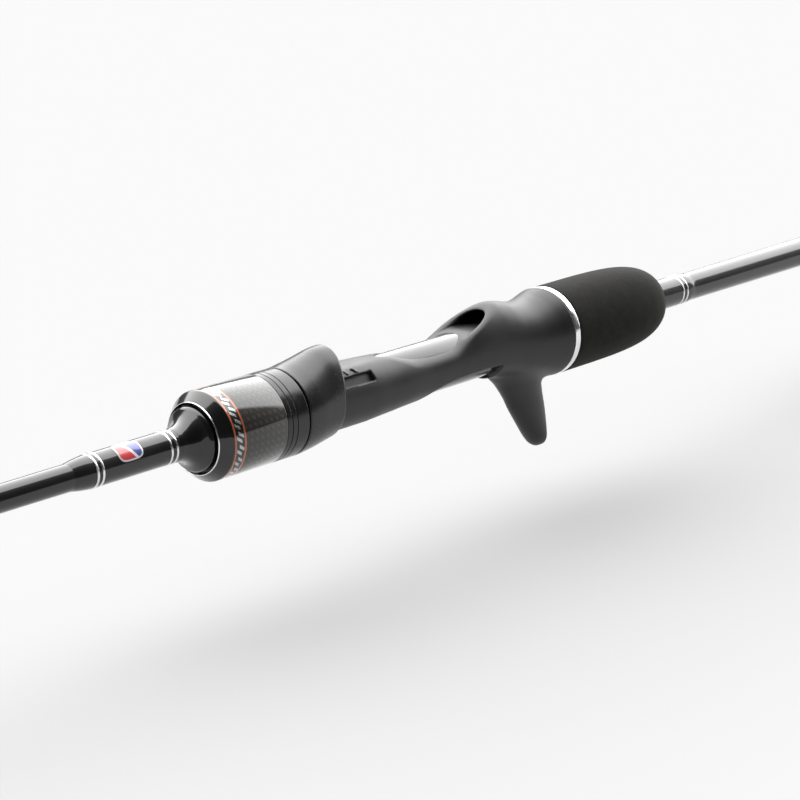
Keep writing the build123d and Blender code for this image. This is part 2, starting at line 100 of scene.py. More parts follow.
def smooth_table(xs, ys):
    """Smooth function through the points, with no overshoot between them."""
    xs = np.array(xs, float)
    ys = np.array(ys, float)
    step = np.diff(xs)
    rise = np.diff(ys) / step
    slope = np.concatenate([rise[:1], (rise[1:] + rise[:-1]) / 2, rise[-1:]])
    flat = np.concatenate([[False], rise[1:] * rise[:-1] <= 0, [False]])
    slope[flat] = 0
    limit = 3 * np.minimum(np.abs(np.append(rise, rise[-1])), np.abs(np.insert(rise, 0, rise[0])))
    slope = np.clip(slope, -limit, limit)

    def value(x):
        x = np.clip(x, xs[0], xs[-1])
        i = np.clip(np.searchsorted(xs, x, side="right") - 1, 0, len(step) - 1)
        t = (x - xs[i]) / step[i]
        a = ys[i] * (1 + 2 * t) * (1 - t) ** 2 + step[i] * slope[i] * t * (1 - t) ** 2
        b = ys[i + 1] * t * t * (3 - 2 * t) + step[i] * slope[i + 1] * t * t * (t - 1)
        return a + b

    return value


def columns(rows):
    """Smooth functions of the first column, one for each other column."""
    xs, *values = zip(*rows)
    return [smooth_table(xs, v) for v in values]


def spline(points, steps=8):
    """Points along a smooth curve through the given ones."""
    points = np.array(points, float)
    along = np.concatenate([[0], np.cumsum(np.linalg.norm(np.diff(points, axis=0), axis=1))])
    slope = np.gradient(points, along, axis=0)
    made = []
    for i in range(len(points) - 1):
        length = along[i + 1] - along[i]
        for t in np.linspace(0, 1, steps, endpoint=False):
            start = points[i] * (1 + 2 * t) * (1 - t) ** 2 + length * slope[i] * t * (1 - t) ** 2
            end = points[i + 1] * t * t * (3 - 2 * t) + length * slope[i + 1] * t * t * (t - 1)
            made.append(tuple(start + end))
    return made + [tuple(points[-1])]


def rounded(corners, steps=5):
    """Closed outline from (x, radius, corner rounding) points; a rounding of 0 keeps the corner."""
    made = []
    for i, (x, r, rounding) in enumerate(corners):
        here = np.array((x, r))
        if rounding == 0:
            made.append((x, r))
            continue
        before = np.array(corners[i - 1][:2]) - here
        after = np.array(corners[(i + 1) % len(corners)][:2]) - here
        start = here + before * min(rounding / np.linalg.norm(before), 0.5)
        end = here + after * min(rounding / np.linalg.norm(after), 0.5)
        for t in np.linspace(0, 1, steps):
            made.append(tuple((1 - t) ** 2 * start + 2 * t * (1 - t) * here + t * t * end))
    return made


def shifted(outline):
    """Outline moved from the handle's X to the rod's X."""
    return [(x + SEAT_X, r) for x, r in outline]


# ---------------------------------------------------------------- meshes
def mesh_piece(name, vertices, faces, body, material, replaces, sharp=35):
    """Smooth-shaded piece from vertices in mm, riding on a body. Edges over sharp degrees stay hard."""
    mesh = bpy.data.meshes.new(name)
    mesh.from_pydata([tuple(v) for v in np.asarray(vertices, float) * MM], [], [tuple(f) for f in faces])
    edit = bmesh.new()
    edit.from_mesh(mesh)
    bmesh.ops.recalc_face_normals(edit, faces=edit.faces)
    edit.to_mesh(mesh)
    edit.free()
    mesh.shade_smooth()
    mesh.set_sharp_from_angle(angle=math.radians(sharp))
    piece = bpy.data.objects.new(name, mesh)
    bpy.context.scene.collection.objects.link(piece)
    mesh.materials.append(material)
    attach(piece, body)
    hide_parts(*replaces)
    return piece


def revolve(outline, count):
    """Vertices and faces of a closed (x, radius) outline turned about the rod axis."""
    vertices = []
    rings = []
    for x, r in outline:
        if r < 1e-6:
            rings.append([len(vertices)] * count)
            vertices.append((x, 0, 0))
            continue
        rings.append(list(range(len(vertices), len(vertices) + count)))
        for i in range(count):
            a = 2 * math.pi * i / count
            vertices.append((x, r * math.cos(a), r * math.sin(a)))
    faces = []
    for here, there in zip(rings, rings[1:] + rings[:1]):
        for i in range(count):
            j = (i + 1) % count
            face = list(dict.fromkeys((here[i], here[j], there[j], there[i])))
            if len(face) > 2:
                faces.append(face)
    return vertices, faces


def turned(name, outlines, body, material, replaces, count=ROUND, sharp=35):
    """Piece turned from one or more closed (rod's X, radius) outlines."""
    vertices = []
    faces = []
    for outline in outlines:
        more, more_faces = revolve(outline, count)
        faces += [[i + len(vertices) for i in face] for face in more_faces]
        vertices += more
    return mesh_piece(name, vertices, faces, body, material, replaces, sharp)


def surface(field, low_corner, high_corner, step):
    """Surface-net mesh of where a signed field is zero. Corners and step in mm."""
    axes = [np.arange(a, b + step, step) for a, b in zip(low_corner, high_corner)]
    x = axes[0][:, None, None]
    y = axes[1][None, :, None]
    z = axes[2][None, None, :]
    values = np.broadcast_to(field(x, y, z), [len(a) for a in axes]).astype(np.float32)
    inside = values < 0
    near = np.zeros([n - 1 for n in inside.shape], np.int8)
    offsets = [(i, j, k) for i in (0, 1) for j in (0, 1) for k in (0, 1)]
    for i, j, k in offsets:
        near += inside[i:inside.shape[0] - 1 + i, j:inside.shape[1] - 1 + j, k:inside.shape[2] - 1 + k]
    cells = np.argwhere((near > 0) & (near < 8))
    corner = {o: values[tuple((cells + o).T)] for o in offsets}
    total = np.zeros((len(cells), 3))
    crossings = np.zeros(len(cells))
    for a in offsets:
        for axis in range(3):
            if a[axis]:
                continue
            b = tuple(1 if n == axis else a[n] for n in range(3))
            crosses = (corner[a] < 0) != (corner[b] < 0)
            t = corner[a][crosses] / (corner[a][crosses] - corner[b][crosses])
            total[crosses] += a
            total[crosses, axis] += t
            crossings += crosses
    points = np.array([a[0] for a in axes]) + (cells + total / crossings[:, None]) * step
    points = onto_surface(field, points, step)
    index = np.full(near.shape, -1, np.int64)
    index[tuple(cells.T)] = np.arange(len(cells))
    faces = []
    for axis in range(3):
        first = [slice(None)] * 3
        second = [slice(None)] * 3
        first[axis] = slice(0, -1)
        second[axis] = slice(1, None)
        crossed = np.argwhere(inside[tuple(first)] != inside[tuple(second)])
        u, v = [n for n in range(3) if n != axis]
        keep = (crossed[:, u] > 0) & (crossed[:, v] > 0)
        keep &= (crossed[:, u] < near.shape[u]) & (crossed[:, v] < near.shape[v])
        crossed = crossed[keep]
        quad = []
        for du, dv in ((0, 0), (-1, 0), (-1, -1), (0, -1)):
            cell = crossed.copy()
            cell[:, u] += du
            cell[:, v] += dv
            quad.append(index[tuple(cell.T)])
        faces.append(np.stack(quad, axis=1))
    return points, np.concatenate(faces)


def onto_surface(field, points, step, rounds=2):
    """Moves points along the field's slope until it is zero there."""
    reach = step * 0.1
    for _ in range(rounds):
        here = field(*points.T)
        rise = [field(*(points + reach * e).T) - field(*(points - reach * e).T) for e in np.eye(3)]
        slope = np.stack(rise, 1)
        slope /= 2 * reach
        size = np.maximum((slope ** 2).sum(1), 0.2)
        move = slope * (here / size)[:, None]
        points = points - np.clip(move, -step * 0.5, step * 0.5)
    return points


# ---------------------------------------------------------------- fields, negative inside
def blend_min(a, b, k):
    """Union with a fillet about k wide."""
    h = np.maximum(k - np.abs(a - b), 0) / k
    return np.minimum(a, b) - h * h * k / 4


def blend_max(a, b, k):
    """Intersection with an edge rounded about k wide."""
    return -blend_min(-a, -b, k)


def cut(a, b, k):
    """a less b, with the edge rounded about k wide."""
    return blend_max(a, -b, k)


def ellipse(u, v, a, b):
    """Distance, near the curve, from an ellipse with half axes a and b."""
    g = np.sqrt((u / a) ** 2 + (v / b) ** 2) + 1e-9
    slope = np.sqrt((u / a ** 2) ** 2 + (v / b ** 2) ** 2) + 1e-9
    return (g - 1) * np.minimum(g / slope, np.maximum(a, b))


def polygon(u, v, outline):
    """Signed distance from a closed outline, negative inside."""
    shape = np.broadcast(u, v).shape
    nearest = np.full(shape, 1e9)
    inside = np.zeros(shape, bool)
    for (u0, v0), (u1, v1) in zip(outline, outline[1:] + outline[:1]):
        du, dv = u1 - u0, v1 - v0
        size = du * du + dv * dv
        if size < 1e-12:
            continue
        t = np.clip(((u - u0) * du + (v - v0) * dv) / size, 0, 1)
        nearest = np.minimum(nearest, (u - u0 - t * du) ** 2 + (v - v0 - t * dv) ** 2)
        if abs(dv) > 1e-12:
            crosses = (v0 > v) != (v1 > v)
            inside ^= crosses & (u < u0 + (v - v0) * du / dv)
    return np.where(inside, -1, 1) * np.sqrt(nearest)


def arch(y, z, half, floor, top, power):
    """Round-topped opening over a flat floor."""
    rise = np.maximum(z - floor, 0) / (top - floor)
    g = np.sqrt((np.abs(y) / half) ** 2 + rise ** power)
    return (g - 1) * half * 0.8


# ---------------------------------------------------------------- reel seat
BARREL_R = 8.65
BLANK_ROOM_R = 5.6
SEAT_SECTIONS = columns([  # X, half width, height above and below the axis
    (0, 12.45, 12.5, 12.45), (2, 12.05, 12.0, 12.15), (5, 11.4, 11.25, 11.5), (9.5, 10.6, 10.75, 10.6),
    (14.5, 9.9, 11.25, 9.6), (19.3, 9.35, 12.4, 8.6), (24, 8.95, 13.0, 7.9), (29, 8.65, 12.9, 7.6),
    (34, 8.4, 12.1, 7.6), (39, 8.2, 10.0, 7.6), (44, 8.1, 8.7, 7.6), (52, 8.1, 7.9, 7.6),
    (62, 8.4, 7.35, 7.9), (66, 8.45, 7.3, 8.15), (70, 8.5, 7.55, 8.35), (73, 8.6, 7.75, 8.5),
    (76, BARREL_R, 7.95, BARREL_R), (80, BARREL_R, 8.25, BARREL_R), (85, BARREL_R, 8.55, BARREL_R),
    (88, BARREL_R, BARREL_R, BARREL_R), (140, BARREL_R, BARREL_R, BARREL_R),
])
TRIGGER_SECTIONS = columns([  # depth below the axis, X of the middle, half length, half width
    (0, 11.6, 10.9, 6.0), (4, 11.4, 10.7, 5.5), (9, 11.2, 10.1, 4.7), (12, 9.9, 8.8, 4.1),
    (16, 8.0, 7.6, 3.6), (20, 6.25, 6.85, 3.4), (24, 4.35, 5.85, 3.3), (27, 2.9, 5.1, 3.2),
    (30, 1.35, 4.45, 3.1), (34, 0.1, 3.8, 3.0),
])
TRIGGER_DEPTH = 32.8
SADDLE = smooth_table(  # height over which the seat is open, along X
    (0, 20, 30, 38, 41.5, 45, 49, 57, 62, 66, 70, 73, 76, 80, 85, 140),
    (22.6, 14.26, 10.07, 6.72, 5.35, 4.95, 4.9, 5.45, 6.5, 7.25, 7.5, 7.52, 7.56, 7.7, 7.85, 7.92),
)
SADDLE_ROUNDING = smooth_table((0, 34, 44, 58, 66, 72, 140), (0.9, 0.9, 2.6, 2.6, 0.9, 0.35, 0.35))
POCKET_X0, POCKET_X1 = 15, 42
POCKET_SECTIONS = columns([  # X, half width, height of the fixed hood's pocket for the reel foot
    (POCKET_X0, 3.1, 9.6), (19, 3.5, 10.5), (24, 3.7, 10.9), (30, 3.8, 11.0), (POCKET_X1, 3.7, 11.0),
])
POCKET_FLOOR = 7.3
POCKET_ROUNDING = 1.4
TUBE_SINK = 0.4  # how far the moulding reaches into the tube that it is moulded round
THREAD_X = 104.0
THREAD_PITCH = 1.5
THREAD_DEPTH = 0.65

# two key slots guide the hood; three raised slanted ribs mark the barrel above each
KEY_ANGLE = math.radians(37.5)
SLOT_X0 = 75.5
SLOT_HALF = 1.4
SLOT_FLOOR = 7.3
RIBS_X0, RIBS_X1 = 77.6, 87.2
RIB_PITCH = 3.2
RIB_HALF = 0.42
RIB_SLANT = 0.55
RIB_MIDDLE = 2.75  # across, from the middle of the slot
RIB_REACH = 0.75
RIB_SINK = 0.3


def window_outline():
    """Planform of the window over the core tube."""
    side = [(36.8, 0), (37.2, 1.4), (38.8, 2.9), (42, 4.3), (50, 4.95), (57, 4.35), (63, 2.9), (67, 1.3),
            (68.3, 0)]
    edge = spline(side, 6)
    return edge + [(x, -y) for x, y in reversed(edge[1:-1])]


def belly_outline():
    """Side profile of the opening in front of the trigger."""
    roof = [(26.5, -2.6), (32, -2.55), (38, -2.7), (47, -3.5), (52, -4.9), (55.5, -6.8), (58, -8.9)]
    return spline(roof, 5) + [(58, -14), (33, -14), (26.5, -6.5)]


WINDOW = window_outline()
BELLY = belly_outline()


def key_frame(y, z):
    """Coordinates across and out of the two key slots, which mirror each other."""
    side = np.abs(y)
    out = side * math.cos(KEY_ANGLE) + z * math.sin(KEY_ANGLE)
    across = -side * math.sin(KEY_ANGLE) + z * math.cos(KEY_ANGLE)
    return across, out


def trigger_field(x, y, z):
    """Finger trigger with a round tip."""
    centre, length, width = (table(-z) for table in TRIGGER_SECTIONS)
    shank = ellipse(x - centre, y, length, width)
    return blend_max(blend_max(shank, -z - TRIGGER_DEPTH - 0.25, 4.5), z, 0.5)


def mark_field(x, y, z):
    """Three raised slanted ribs over each key slot."""
    across, out = key_frame(y, z)
    along = x - across * RIB_SLANT
    rib = np.abs((along - RIBS_X0) % RIB_PITCH - RIB_PITCH / 2) - RIB_HALF
    rib = np.maximum(rib, np.abs(across - RIB_MIDDLE) - RIB_REACH)
    rib = np.maximum(rib, np.maximum(RIBS_X0 - along, along - RIBS_X1))
    return np.maximum(rib, np.abs(np.sqrt(y * y + z * z) - BARREL_R + RIB_SINK) - RIB_HALF)


def seat_field(x, y, z):
    """Moulded reel seat: hood, saddle, barrel with key slots and thread, trigger."""
    half, top, bottom = (table(x) for table in SEAT_SECTIONS)
    body = ellipse(y, z, half, np.where(z > 0, top, bottom))
    turn = np.arctan2(z, y) / (2 * math.pi)
    phase = np.abs(((x / THREAD_PITCH - turn) % 1) - 0.5) * 2
    fade = np.clip((x - THREAD_X) / 1.5, 0, 1) * np.clip((BARREL_END - x) / 1.0, 0, 1)
    body = body + THREAD_DEPTH * fade * np.clip((0.72 - phase) / 0.5, 0, 1)
    body = blend_min(body, trigger_field(x, y, z), 2.6)
    body = blend_max(body, np.maximum(-x, x - BARREL_END), 0.2)
    above = (z - SADDLE(x)) * 0.93
    body = blend_max(body, above, SADDLE_ROUNDING(x))
    pocket_half, pocket_top = (table(x) for table in POCKET_SECTIONS)
    pocket = np.maximum(arch(y, z, pocket_half, POCKET_FLOOR + 0.6, pocket_top, 2.5), POCKET_FLOOR - z)
    pocket = np.maximum(np.maximum(pocket, POCKET_X0 - x), x - POCKET_X1)
    body = cut(body, pocket, POCKET_ROUNDING)
    body = cut(body, np.maximum(polygon(x, y, WINDOW), 2 - z), 0.2)
    body = np.minimum(body, mark_field(x, y, z))
    body = cut(body, polygon(x, z, BELLY), 0.7)
    across, out = key_frame(y, z)
    slot = np.maximum(np.maximum(np.abs(across) - SLOT_HALF, SLOT_FLOOR - out), SLOT_X0 - x)
    body = cut(body, slot, 0.3)
    radius = np.sqrt(y * y + z * z)
    tube_room = np.maximum(radius - TUBE_R + TUBE_SINK, np.maximum(TUBE_X0 - x, x - TUBE_X1))
    return np.maximum(body, -np.minimum(tube_room, radius - BLANK_ROOM_R))


def make_reel_seat(material):
    step = 0.34
    low_corner = (-1.0, -13.2, -34.0)
    high_corner = (BARREL_END + 1.0, 13.2, 14.6)
    vertices, faces = surface(seat_field, low_corner, high_corner, step)
    vertices[:, 0] += SEAT_X
    mesh_piece("seat_shell", vertices, faces, "butt_section", material, ["reel_seat"], 60)


# ---------------------------------------------------------------- moving hood
HOOD_SECTIONS = columns([  # X, half width, height above and below the axis
    (78, 9.0, 13.95, 8.0), (82, 9.2, 14.0, 8.4), (86, 9.5, 14.05, 9.0), (89.5, 9.9, 13.8, 9.6),
    (93.4, 10.4, 12.85, 10.25), (97.8, 10.95, 11.9, 10.9), (102.6, 11.25, 11.25, 11.25),
    (110, 11.25, 11.25, 11.25),
])
HOOD_REAR = smooth_table((-16, 0, 9, 13, 18), (89.2, 88.6, 87.3, 86.4, 86.2))
HOOD_FRONT = 102.6
HOOD_BORE_R = 8.95
NECK_R = 9.45
NECK_END = 108.5
THROAT_SECTIONS = columns([  # X, half width, height of the opening that takes the reel foot
    (78, 6.4, 12.7), (90, 6.4, 12.6), (94, 6.2, 11.5), (98, 5.8, 10.2), (110, 4.6, 6.5),
])
THROAT_FLOOR = 6.0
THROAT_X1 = 98
KEY_X0, KEY_X1 = 90.5, 101
KEY_HALF = 1.15
KEY_LOW, KEY_HIGH = 7.7, 9.3


def hood_field(x, y, z):
    """Hood that slides on the barrel, with its neck inside the nut and a key for each slot."""
    half, top, bottom = (table(x) for table in HOOD_SECTIONS)
    body = ellipse(y, z, half, np.where(z > 0, top, bottom))
    body = blend_max(body, HOOD_REAR(z) - x, 0.7)
    body = blend_max(body, x - HOOD_FRONT, 0.25)
    radius = np.sqrt(y * y + z * z)
    neck = np.maximum(radius - NECK_R, np.maximum(HOOD_FRONT - 1 - x, x - NECK_END))
    body = np.minimum(body, neck)
    body = cut(body, radius - HOOD_BORE_R, 0.35)
    throat_half, throat_top = (table(x) for table in THROAT_SECTIONS)
    throat = arch(y, z, throat_half, THROAT_FLOOR, throat_top, 2.86)
    throat = np.maximum(throat, np.maximum(THROAT_FLOOR - z, x - THROAT_X1))
    body = cut(body, throat, 0.4)
    across, out = key_frame(y, z)
    key = np.maximum(np.abs(across) - KEY_HALF, np.maximum(KEY_LOW - out, out - KEY_HIGH))
    key = np.maximum(key, np.maximum(KEY_X0 - x, x - KEY_X1))
    return np.minimum(body, key)


def make_moving_hood(material):
    step = 0.27
    low_corner = (85.0, -12.2, -12.2)
    high_corner = (NECK_END + 0.8, 12.2, 15.4)
    vertices, faces = surface(hood_field, low_corner, high_corner, step)
    vertices[:, 0] += SEAT_X
    mesh_piece("hood_shell", vertices, faces, "hood", material, ["moving_hood"], 60)


# ---------------------------------------------------------------- materials
def add_node(tree, kind, inputs=None, **settings):
    """New shader node; inputs holds values or sockets by name or number."""
    made = tree.nodes.new("ShaderNode" + kind)
    for key, value in settings.items():
        setattr(made, key, value)
    for key, value in (inputs or {}).items():
        if isinstance(value, bpy.types.NodeSocket):
            tree.links.new(value, made.inputs[key])
        else:
            made.inputs[key].default_value = value
    return made


def grey(value):
    return (value, value, value, 1)


class Look:
    """One procedural material: a Principled shader and the nodes that drive it."""

    def __init__(self, name, **inputs):
        self.material = bpy.data.materials.new(name)
        self.material.use_nodes = True
        self.tree = self.material.node_tree
        self.shader = self.tree.nodes["Principled BSDF"]
        for key, value in inputs.items():
            self.shader.inputs[key.replace("_", " ")].default_value = value
        self.place = self.tree.nodes.new("ShaderNodeTexCoord").outputs["Object"]

    def node(self, kind, inputs=None, **settings):
        return add_node(self.tree, kind, inputs, **settings)

    def math(self, operation, a, b=0.0):
        return self.node("Math", {0: a, 1: b}, operation=operation).outputs[0]

    def scaled(self, scale):
        """Object coordinates, in metres, multiplied by a scale for each axis."""
        return self.node("Mapping", {"Vector": self.place, "Scale": scale}).outputs["Vector"]

    def noise(self, size, detail=2.0, rough=0.5, stretch=(1, 1, 1)):
        """Noise whose features are about size mm, stretched along each axis."""
        scale = [1000 / (size * s) for s in stretch]
        inputs = {"Vector": self.scaled(scale), "Scale": 1.0, "Detail": detail, "Roughness": rough}
        return self.node("TexNoise", inputs).outputs["Fac"]

    def ramp(self, value, stops):
        """Value turned into a colour through (position, colour) stops."""
        made = self.node("ValToRGB", {"Fac": value})
        elements = made.color_ramp.elements
        while len(elements) < len(stops):
            elements.new(0.5)
        for element, (position, colour) in zip(elements, stops):
            element.position = position
            element.color = (*colour, 1)
        return made.outputs["Color"]

    def span(self, value, low_in, high_in, low_out, high_out):
        """Value moved from one range to another, and held at the ends."""
        inputs = {"Value": value, 1: low_in, 2: high_in, 3: low_out, 4: high_out}
        return self.node("MapRange", inputs).outputs[0]

    def mix(self, factor, a, b, blend="MIX"):
        """Colour a with colour b over it, as far as factor says."""
        return self.node("Mix", {0: factor, 6: a, 7: b}, data_type="RGBA", blend_type=blend).outputs[2]

    def bump(self, height, strength, distance):
        """Normal over a height, whose full range is distance mm."""
        inputs = {"Height": height, "Strength": strength, "Distance": distance * MM}
        return self.node("Bump", inputs).outputs["Normal"]

    def to(self, socket, value):
        self.tree.links.new(value, self.shader.inputs[socket])

    def polar(self):
        """Angle about the rod axis in turns, and x in mm."""
        parts = self.node("SeparateXYZ", {0: self.place})
        angle = self.math("ARCTAN2", parts.outputs["Y"], parts.outputs["Z"])
        turns = self.math("DIVIDE", angle, 2 * math.pi)
        return turns, self.math("MULTIPLY", parts.outputs["X"], 1000.0)


def graphite_look():
    """Black graphite blank: wound fibre under a gloss lacquer with a slight ripple."""
    look = Look("graphite_lacquer", Roughness=0.4, Specular_IOR_Level=0.15, Coat_Weight=1.0,
                Coat_Roughness=0.04)
    fibre = look.noise(0.25, 3, 0.6, (14, 1, 1))
    patches = look.noise(6, 2)
    shade = look.math("ADD", look.math("MULTIPLY", fibre, 0.7), look.math("MULTIPLY", patches, 0.3))
    look.to("Base Color", look.ramp(shade, [(0.35, (0.001, 0.001, 0.001)), (0.75, (0.005, 0.0048, 0.0045))]))
    look.to("Normal", look.bump(fibre, 0.15, 0.03))
    look.to("Coat Normal", look.bump(look.noise(3, 1, 0.4, (2.5, 1, 1)), 0.12, 0.02))
    return look.material


def wrap_look(name, colour):
    """Thread wrap under epoxy: fine turns below a smooth gloss coat."""
    thread_width = 0.24
    look = Look(name, Roughness=0.45, Specular_IOR_Level=0.15, Coat_Weight=1.0, Coat_Roughness=0.03)
    x = look.polar()[1]
    winding = look.math("FRACT", look.math("DIVIDE", x, thread_width))
    thread = look.math("SINE", look.math("MULTIPLY", winding, math.pi))
    tone = look.math("MULTIPLY", thread, look.noise(0.9, 2, 0.6, (0.4, 1, 1)))
    dark = tuple(c * 0.45 for c in colour)
    look.to("Base Color", look.ramp(tone, [(0.1, dark), (0.7, colour)]))
    look.to("Normal", look.bump(thread, 0.3, 0.03))
    look.to("Coat Normal", look.bump(look.noise(3.5, 1, 0.4, (1.2, 1, 1)), 0.12, 0.03))
    return look.material


def foam_look():
    """Dense EVA foam: fine closed cells, mottled grey-black, a dry surface."""
    look = Look("eva_foam", Roughness=0.9, Specular_IOR_Level=0.12, Sheen_Weight=0.08, Sheen_Roughness=0.5)
    look.shader.inputs["Sheen Tint"].default_value = (0.9, 0.88, 0.82, 1)
    mottle = look.noise(3.5, 5, 0.65)
    speck = look.noise(0.4, 2, 0.6)
    tone = look.math("ADD", look.math("MULTIPLY", mottle, 0.65), look.math("MULTIPLY", speck, 0.35))
    tones = [(0.36, (0.0018, 0.0018, 0.0018)), (0.64, (0.0092, 0.0089, 0.0082))]
    look.to("Base Color", look.ramp(tone, tones))
    cells = look.node("TexVoronoi", {"Vector": look.scaled((1, 1, 1)), "Scale": 2600.0}).outputs["Distance"]
    height = look.math("ADD", look.math("MULTIPLY", cells, 0.5), look.noise(0.5, 3, 0.7))
    look.to("Normal", look.bump(height, 0.55, 0.09))
    return look.material


def moulded_look(name, tone, roughness, grain=0.12, strength=0.12):
    """Moulded or painted black surface with a fine even grain and soft handling marks."""
    look = Look(name)
    broad = look.noise(9, 3, 0.55)
    fine = look.noise(0.6, 2)
    light = tuple(c * 1.35 for c in tone)
    dark = tuple(c * 0.8 for c in tone)
    look.to("Base Color", look.ramp(broad, [(0.3, dark), (0.7, light)]))
    rough = look.math("ADD", look.span(broad, 0.3, 0.7, -0.03, 0.03), look.span(fine, 0.3, 0.7, -0.02, 0.02))
    look.to("Roughness", look.math("ADD", rough, roughness))
    look.to("Normal", look.bump(look.noise(grain, 2, 0.6), strength, 0.02))
    return look.material


def turned_metal_look(name, colour, roughness, metallic=1.0, lines=0.15, line_depth=0.012):
    """Lathe-turned metal: fine rings round the axis and a little tarnish."""
    look = Look(name, Metallic=metallic)
    rings = look.noise(0.08, 2, 0.6, (1, 400, 400))
    haze = look.noise(2.5, 3, 0.6)
    dull = tuple(c * 0.82 for c in colour)
    look.to("Base Color", look.ramp(haze, [(0.3, dull), (0.65, colour)]))
    look.to("Roughness", look.span(haze, 0.3, 0.7, roughness * 0.8, roughness * 1.25))
    look.to("Normal", look.bump(rings, lines, line_depth))
    return look.material


def gloss_black_look(name, roughness=0.03):
    """Gloss black lacquer over a turned part."""
    look = Look(name, Roughness=0.35, Specular_IOR_Level=0.15, Coat_Weight=1.0, Coat_Roughness=roughness)
    tones = [(0.3, (0.0012, 0.0012, 0.0013)), (0.7, (0.0035, 0.0035, 0.0037))]
    look.to("Base Color", look.ramp(look.noise(4, 3), tones))
    look.to("Coat Normal", look.bump(look.noise(3, 1, 0.4), 0.08, 0.02))
    return look.material


def carbon_look():
    """Plain-weave carbon cloth, laid on the bias, under clear gloss lacquer. Its colour carries a painted
    sheen: the crowns of the warp tows are painted much lighter than those of the weft, over black.
    """
    look = Look("carbon_weave", Specular_IOR_Level=0.15, Coat_Weight=1.0, Coat_Roughness=0.035)
    turns, x = look.polar()
    tows_round = 80.0
    pitch = 2 * math.pi * NUT_R / tows_round
    u = look.math("MULTIPLY", turns, tows_round)
    v = look.math("DIVIDE", x, pitch)
    warp = look.math("ADD", u, v)
    weft = look.math("SUBTRACT", u, v)
    warp_half = look.math("MULTIPLY", warp, 0.5)
    weft_half = look.math("MULTIPLY", weft, 0.5)
    parity = look.math("ADD", look.math("FLOOR", warp_half), look.math("FLOOR", weft_half))
    over = look.math("ABSOLUTE", look.math("MODULO", parity, 2.0))
    warp_round = look.math("SINE", look.math("MULTIPLY", look.math("FRACT", warp_half), math.pi))
    weft_round = look.math("SINE", look.math("MULTIPLY", look.math("FRACT", weft_half), math.pi))
    under = look.math("SUBTRACT", 1.0, over)
    a = look.math("MULTIPLY", over, warp_round)
    b = look.math("MULTIPLY", under, weft_round)
    height = look.math("ADD", a, b)
    strands = look.noise(0.1, 2, 0.6)
    # painted sheen: each tow's crown is painted lighter, the warp far more than the weft, in place of the
    # reflection off the tows
    lit = look.math("ADD", look.math("MULTIPLY", a, 0.85), look.math("MULTIPLY", b, 0.22))
    tone = look.math("ADD", lit, look.math("MULTIPLY", strands, 0.12))
    # the brown end of this ramp is the colour of the painted sheen on the tow crowns; the cloth itself is
    # near black
    look.to("Base Color", look.ramp(tone, [(0.08, (0.0012, 0.0012, 0.0012)), (1.0, (0.034, 0.025, 0.017))]))
    look.to("Roughness", look.span(height, 0.0, 1.0, 0.55, 0.4))
    look.to("Normal", look.bump(height, 0.25, 0.03))
    return look.material


def accent_look():
    """Thin metallic orange line under lacquer."""
    look = Look("accent_line", Metallic=0.35, Roughness=0.3, Coat_Weight=1.0, Coat_Roughness=0.03)
    flake = look.noise(0.12, 2)
    look.to("Base Color", look.ramp(flake, [(0.3, (0.33, 0.055, 0.014)), (0.7, (0.58, 0.13, 0.035))]))
    return look.material


def band_look():
    """Dark band with a row of slanted silver strokes, every other one set back, under lacquer."""
    look = Look("patterned_band", Specular_IOR_Level=0.2, Coat_Weight=1.0, Coat_Roughness=0.03)
    turns, x = look.polar()
    strokes = 44.0
    lean = 0.42  # strokes passed for each mm along the rod
    start, end = 0.22, 0.74  # share of a stroke's cell that is silver
    half_length = 0.78
    stagger = 0.7
    middle = (SLEEVE_X1 + BAND_X1) / 2 + SEAT_X
    across = look.math("SUBTRACT", x, middle)
    slant = look.math("ADD", look.math("MULTIPLY", turns, strokes), look.math("MULTIPLY", across, lean))
    cell = look.math("FLOOR", slant)
    part = look.math("FRACT", slant)
    inside = look.math("MULTIPLY", look.math("GREATER_THAN", part, start), look.math("LESS_THAN", part, end))
    shift = look.math("SUBTRACT", look.math("MODULO", look.math("ABSOLUTE", cell), 2.0), 0.5)
    offset = look.math("ABSOLUTE", look.math("ADD", across, look.math("MULTIPLY", shift, stagger)))
    mark = look.math("MULTIPLY", inside, look.math("LESS_THAN", offset, half_length))
    look.to("Base Color", look.mix(mark, (0.002, 0.002, 0.002, 1), (0.40, 0.44, 0.43, 1)))
    look.to("Metallic", look.math("MULTIPLY", mark, 0.85))
    look.to("Roughness", look.span(look.noise(0.3, 2), 0.3, 0.7, 0.2, 0.36))
    return look.material


def badge_look():
    """Two-colour enamel badge with a white slanted stripe and border, under lacquer."""
    half_x = 3.7
    wrap_r = 4.2
    look = Look("badge_enamel", Roughness=0.35, Coat_Weight=1.0, Coat_Roughness=0.03)
    turns, x = look.polar()
    middle = (low("emblem").x + high("emblem").x) / 2
    along = look.math("SUBTRACT", x, middle)
    up = look.math("MULTIPLY", look.math("SUBTRACT", turns, BADGE_TURN / 360), 2 * math.pi * wrap_r)
    tilt = look.math("ADD", along, look.math("MULTIPLY", up, 0.55))
    stripe = look.math("LESS_THAN", look.math("ABSOLUTE", tilt), 0.42)
    side = look.math("GREATER_THAN", tilt, 0.0)
    grain = look.span(look.noise(0.2, 2), 0.3, 0.7, 0.85, 1.0)
    field = look.mix(side, (0.055, 0.07, 0.36, 1), (0.62, 0.035, 0.045, 1))
    painted = look.mix(stripe, field, (0.78, 0.78, 0.8, 1))
    edge_x = look.math("DIVIDE", look.math("ABSOLUTE", along), half_x)
    edge_y = look.math("DIVIDE", look.math("ABSOLUTE", up), BADGE_HALF)
    far = look.math("ADD", look.math("POWER", edge_x, 4.0), look.math("POWER", edge_y, 4.0))
    bordered = look.mix(look.math("GREATER_THAN", far, 0.62), painted, (0.72, 0.72, 0.74, 1))
    look.to("Base Color", look.mix(1.0, bordered, grain, "MULTIPLY"))
    return look.material


